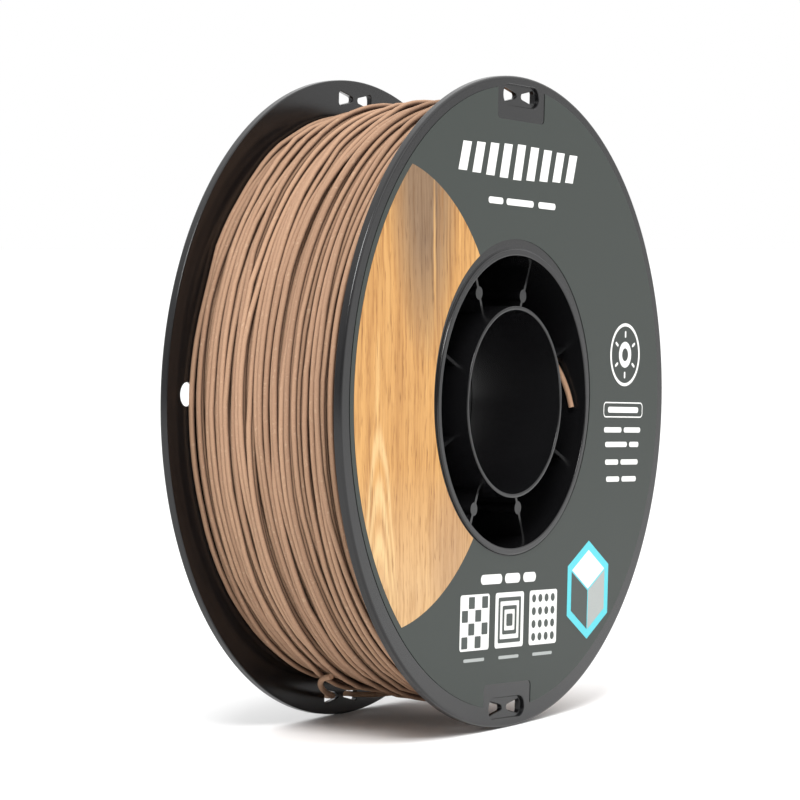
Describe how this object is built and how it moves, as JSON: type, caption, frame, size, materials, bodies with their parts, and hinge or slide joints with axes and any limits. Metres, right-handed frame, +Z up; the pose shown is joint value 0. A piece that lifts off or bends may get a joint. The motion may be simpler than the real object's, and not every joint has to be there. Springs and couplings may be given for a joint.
{
  "type": "filament spool",
  "caption": "Round plastic spool with flanges, open ribbed hub and a printed face, wound full of wood-tone 3D printing filament.",
  "frame": {"origin": "centre of the spool: on its axis, mid-way between the two flanges", "axes": "+Y along the spool's axis, out of the rear flange; the printed face looks towards -Y; +Z up as the spool stands on its rims, slots at the top and bottom"},
  "size_m": [0.2, 0.0675, 0.2],
  "materials": {
    "spool_plastic": "black moulded polystyrene, satin, fine moulded grain",
    "label_film": "satin printed adhesive film, dark grey-green with a wood-print panel",
    "filament": "matte wood-filled filament, tan brown"
  },
  "bodies": {
    "root": {"front_half": "spool_plastic", "rear_half": "spool_plastic", "front_label": "label_film", "filament_winding": "filament", "filament_free_end": "filament", "filament_inner_end": "filament"}
  },
  "joints": []
}
